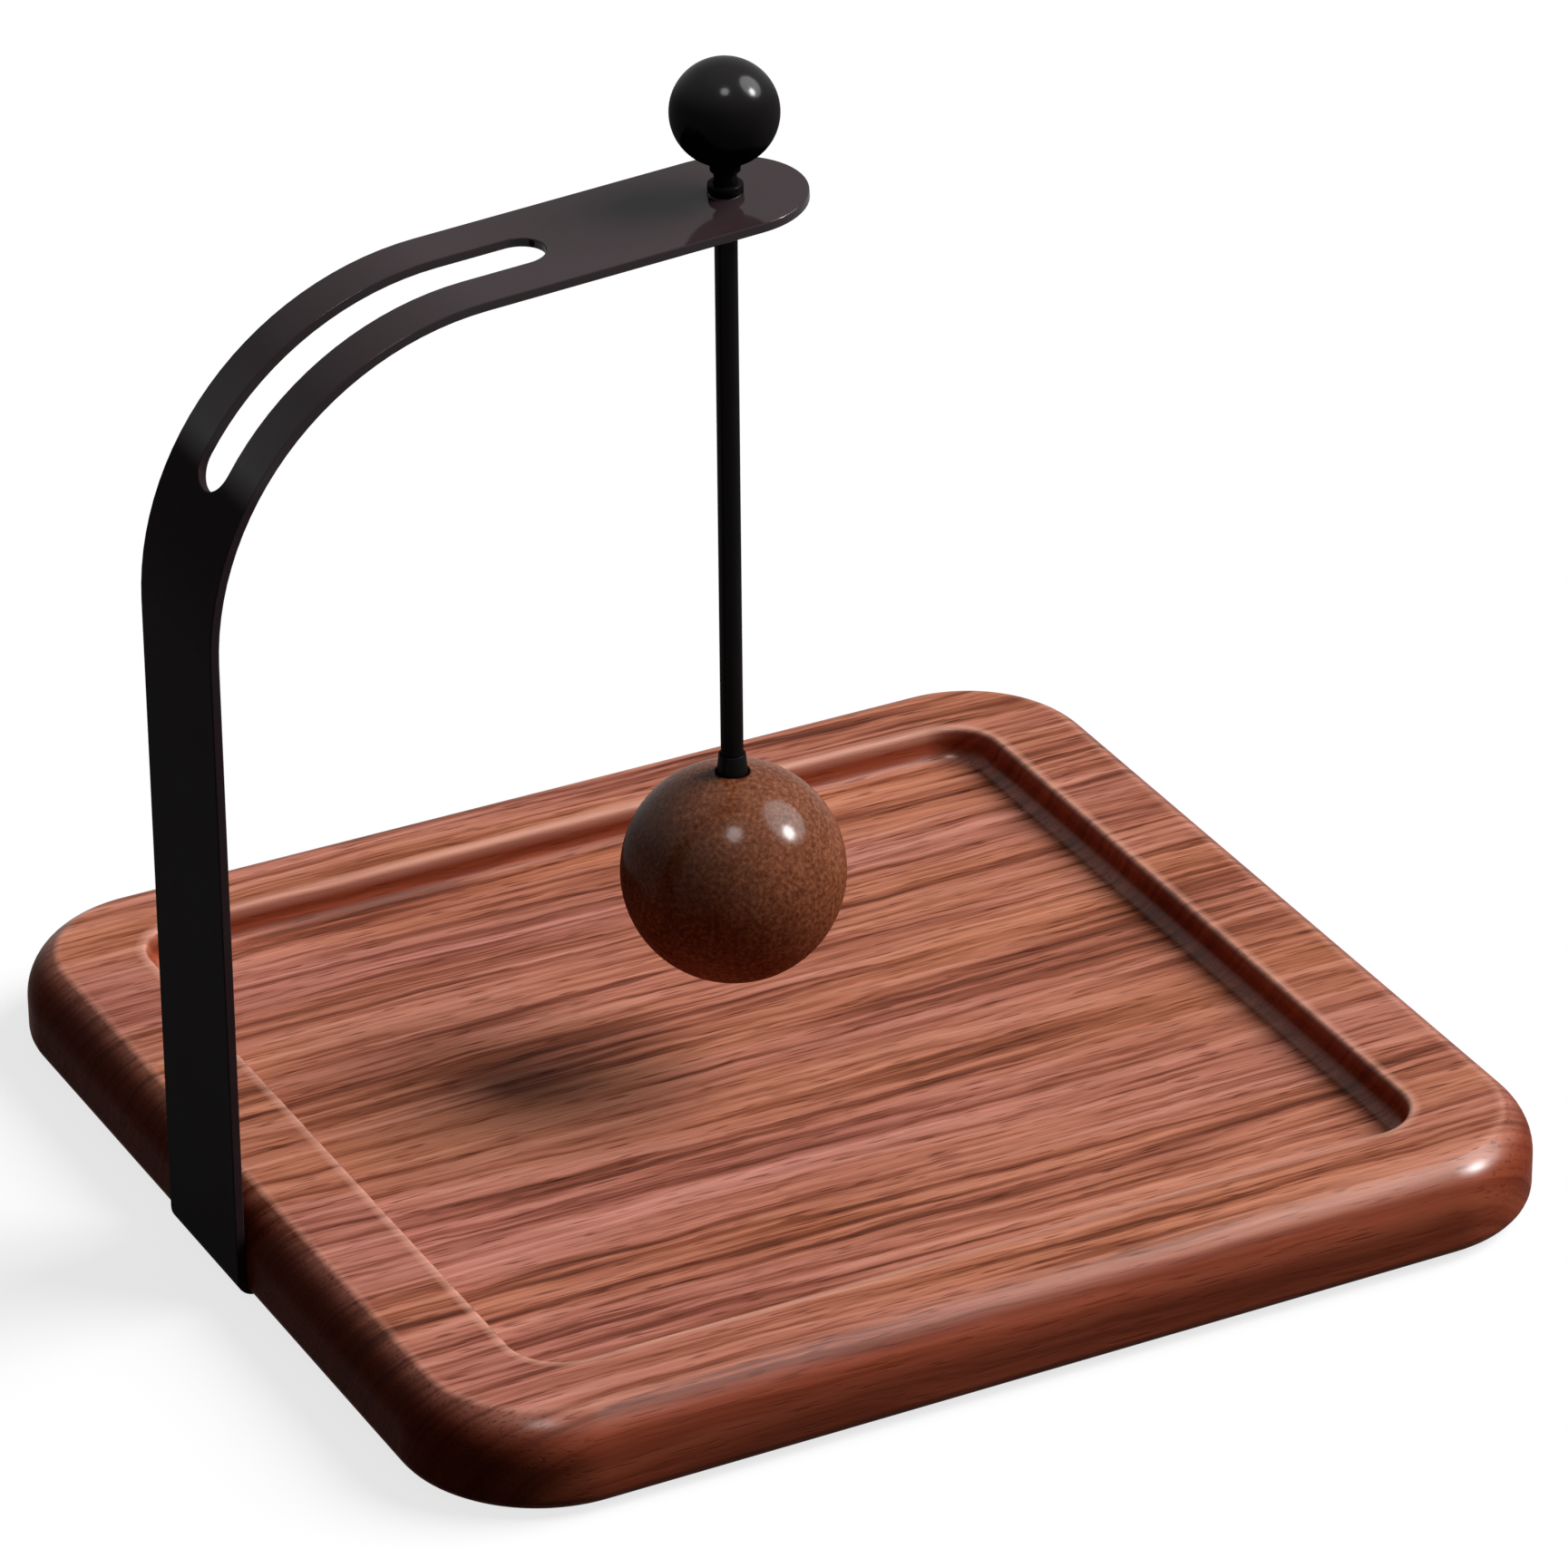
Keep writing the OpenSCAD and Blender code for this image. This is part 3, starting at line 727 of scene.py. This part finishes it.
def ball_finish():
    """Brown gloss lacquer with a fine mottle."""
    finish, tree, shader = new_finish("ball_lacquer")
    place = add(tree, "ShaderNodeTexCoord").outputs["Object"]
    skin = add(tree, "ShaderNodeGroup", {"Grain Scale": BALL_SKIN}, node_tree=SKIN).outputs
    mottle = noise(tree, place, BALL_MOTTLE, detail=3.0, roughness=0.65)
    mottle = sum_of(tree, mottle, swing(tree, noise(tree, place, BALL_CLOUDS), CLOUD_REACH))
    feed(tree, shader.inputs["Base Color"], ramp(tree, mottle, BALL_STOPS))
    feed(tree, shader.inputs["Roughness"], between(tree, skin["Smudge"], *BALL_ROUGH))
    coat = between(tree, skin["Smudge"], *BALL_GLOSS)
    # The ball's coat is set by height: a painted reflection, dull low down and full near its top
    feed(tree, shader.inputs["Coat Weight"], painted_reflection_coat(tree, coat, BALL_PAINTED_REFLECTION))
    raise_skin(tree, shader, skin["Height"], BALL_RELIEF, SKIN_DEPTH)
    shader.inputs["Coat Roughness"].default_value = BALL_COAT_ROUGH
    shader.inputs["Specular IOR Level"].default_value = 0.0
    return finish


# Pieces

walnut = walnut_finish()
ball_lacquer = ball_finish()
# Gloss black's coat is set by height: a painted reflection, dull low on the post and fuller above it
gloss_black = skinned(
    "gloss_black", (0.034, 0.020, 0.023), (0.044, 0.028, 0.031),
    roughness=0.08, skin_scale=650.0, relief=0.05, gloss=0.35, reflection_heights=ARM_PAINTED_REFLECTION)
satin_black = skinned(
    "satin_black", (0.005, 0.004, 0.004), (0.010, 0.008, 0.008),
    roughness=0.28, skin_scale=1600.0, relief=0.10, gloss=0.07)
# The knob's coat is set by height: a painted reflection, dull in its middle and full on its top
knob_black = skinned(
    "knob_black", (0.006, 0.005, 0.0055), (0.013, 0.0105, 0.0115),
    roughness=0.16, skin_scale=700.0, relief=0.06, gloss=0.30, reflection_heights=KNOB_PAINTED_REFLECTION)
black_nylon = skinned(
    "black_nylon", (0.015, 0.015, 0.016), (0.022, 0.022, 0.023),
    roughness=0.42, skin_scale=2400.0, relief=0.12, gloss=0.5)
pad_rubber = skinned(
    "pad_rubber", (0.028, 0.028, 0.030), (0.050, 0.049, 0.048),
    roughness=0.65, skin_scale=1800.0, relief=0.25, gloss=0.4)
screw_steel = skinned(
    "screw_steel", (0.25, 0.25, 0.26), (0.18, 0.18, 0.19),
    roughness=0.30, skin_scale=1500.0, relief=0.10, metallic=1.0)
brass = skinned(
    "brass", (0.70, 0.50, 0.22), (0.58, 0.40, 0.17),
    roughness=0.25, skin_scale=1500.0, relief=0.08, metallic=1.0)

tray = add_piece("tray_board", tray_board(), walnut, "stand", "walnut", "tray")
cut_away(tray, tray_seats())
add_piece("arm_strip", softened_copy("arm", STRIP_EDGE), gloss_black, "stand", "gloss_black", "arm")
add_piece("bush_sleeve", softened_copy("guide_bush", FINE_EDGE), black_nylon, "stand", "black_nylon", "guide_bush")
for side in SIDES:
    screw = "arm_screw_" + side
    add_piece("screw_" + side, softened_copy(screw, HAIR_EDGE), screw_steel, "stand", "screw_steel", screw)
    for end in ENDS:
        pad = "foot_pad_%s_%s" % (side, end)
        add_piece("pad_%s_%s" % (side, end), foot_pad_mesh(pad), pad_rubber, "stand", "pad_rubber", pad)
add_piece("rod", press_rod_mesh(), satin_black, "weight", "satin_black", "press_rod")
add_piece("collar", stop_collar_mesh(), satin_black, "weight", "satin_black", "stop_collar")
add_piece("knob", top_knob_mesh(), knob_black, "weight", "knob_black", "top_knob")
add_piece("ferrule", ball_ferrule_mesh(), satin_black, "weight", "satin_black", "ball_ferrule")
add_piece("ball", weight_ball_mesh(), ball_lacquer, "weight", "ball_lacquer", "weight_ball")
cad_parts["ball_insert"].material_slots[0].material = brass


# Stage: floor, light and camera

FLOOR_L = 8.0
FLOOR_WHITE = (0.25, 0.25, 0.25, 1)
FLOOR_GLOW = 0.76
FLOOR_GREY = (0.03, 0.03, 0.03, 1)
WORLD_DIM = 0.05

# Each lamp: where it stands, its strength, its width in degrees, and whether it shows in gloss alone
LAMPS = {
    "key": (Vector((0.70, -0.20, 0.68)).normalized(), 4.1, 40, False),
    "glint": (Vector((0.694, -0.379, 0.605)), 3.5, 12, True),
    "soft": (Vector((-0.17, -0.375, 0.905)), 1.0, 15, True),
    "overhead": (Vector((0.05, 0.10, 1)).normalized(), 0.15, 60, False),
}

# Camera, at the viewing angle of the photograph
CAMERA_TURN = math.radians(-27.28)
CAMERA_RISE = math.radians(28.59)
CAMERA_ROLL = math.radians(-0.5)
CAMERA_AWAY = 1344.0 * MM
CAMERA_RIGHT = 3.0 * MM
CAMERA_UP = 50.07 * MM
CAMERA_SHIFT = Vector((0.75, 0, 1.57)) * MM
CAMERA_LENS = 196.98
CAMERA_SENSOR = 36.0


def shown_rays(tree):
    """1 for rays that show a surface to the eye, straight or by reflection, and 0 for the light it gives off."""
    path = add(tree, "ShaderNodeLightPath").outputs
    return sum_of(tree, sum_of(tree, path["Is Camera Ray"], path["Is Glossy Ray"], "MAXIMUM"),
                  path["Is Transmission Ray"], "MAXIMUM")


def floor_finish():
    """White to the eye, with the shadows on it, but a dark grey in the light it throws back: clear from below."""
    finish = bpy.data.materials.new("floor")
    finish.use_nodes = True
    tree = finish.node_tree
    tree.nodes.remove(tree.nodes["Principled BSDF"])
    shown = shown_rays(tree)
    colour = blend(tree, shown, FLOOR_GREY, FLOOR_WHITE)
    surface = add(tree, "ShaderNodeBsdfDiffuse", {"Color": colour}).outputs["BSDF"]
    strength = between(tree, shown, 0.0, FLOOR_GLOW)
    glow = add(tree, "ShaderNodeEmission", {"Strength": strength}).outputs["Emission"]
    surface = add(tree, "ShaderNodeAddShader", {0: surface, 1: glow}).outputs["Shader"]
    below = add(tree, "ShaderNodeBsdfTransparent").outputs["BSDF"]
    behind = add(tree, "ShaderNodeNewGeometry").outputs["Backfacing"]
    mixed = add(tree, "ShaderNodeMixShader", {0: behind, 1: surface, 2: below}).outputs["Shader"]
    feed(tree, tree.nodes["Material Output"].inputs["Surface"], mixed)
    return finish


def add_floor():
    """A wide flat floor."""
    bm = bmesh.new()
    bmesh.ops.create_grid(bm, x_segments=1, y_segments=1, size=FLOOR_L / 2)
    mesh = bpy.data.meshes.new("floor")
    bm.to_mesh(mesh)
    bm.free()
    mesh.materials.append(floor_finish())
    floor = bpy.data.objects.new("floor", mesh)
    bpy.context.scene.collection.objects.link(floor)


def add_lamp(name, toward, strength, width, gloss_only):
    """A distant soft lamp."""
    lamp = bpy.data.lights.new(name, "SUN")
    lamp.energy = strength
    lamp.angle = math.radians(width)
    holder = bpy.data.objects.new(name, lamp)
    holder.rotation_euler = toward.to_track_quat("Z", "Y").to_euler()
    holder.location = toward
    holder.visible_diffuse = not gloss_only
    bpy.context.scene.collection.objects.link(holder)


def add_world():
    """A white surround to the eye, which gives little light of its own."""
    world = bpy.data.worlds.new("studio")
    world.use_nodes = True
    tree = world.node_tree
    light = tree.nodes["Background"]
    light.inputs["Color"].default_value = (1, 1, 1, 1)
    feed(tree, light.inputs["Strength"], between(tree, shown_rays(tree), WORLD_DIM, 1.0))
    bpy.context.scene.world = world


def add_camera():
    """The camera, turned about the holder, raised, set off to one side and rolled."""
    right = Vector((math.cos(CAMERA_TURN), math.sin(CAMERA_TURN), 0))
    back = Vector((math.sin(CAMERA_TURN) * math.cos(CAMERA_RISE),
                   -math.cos(CAMERA_TURN) * math.cos(CAMERA_RISE), math.sin(CAMERA_RISE)))
    up = back.cross(right)
    place = CAMERA_RIGHT * right + CAMERA_UP * up + CAMERA_AWAY * back + CAMERA_SHIFT
    turned_right = right * math.cos(CAMERA_ROLL) + up * math.sin(CAMERA_ROLL)
    turned_up = back.cross(turned_right)
    camera = bpy.data.cameras.new("camera")
    camera.lens = CAMERA_LENS
    camera.sensor_width = CAMERA_SENSOR
    holder = bpy.data.objects.new("camera", camera)
    axes = Matrix((turned_right, turned_up, back)).transposed().to_4x4()
    holder.matrix_world = Matrix.Translation(place) @ axes
    bpy.context.scene.collection.objects.link(holder)
    bpy.context.scene.camera = holder


add_floor()
for lamp, settings in LAMPS.items():
    add_lamp(lamp, *settings)
add_world()
add_camera()
bpy.context.scene.view_settings.view_transform = "Standard"
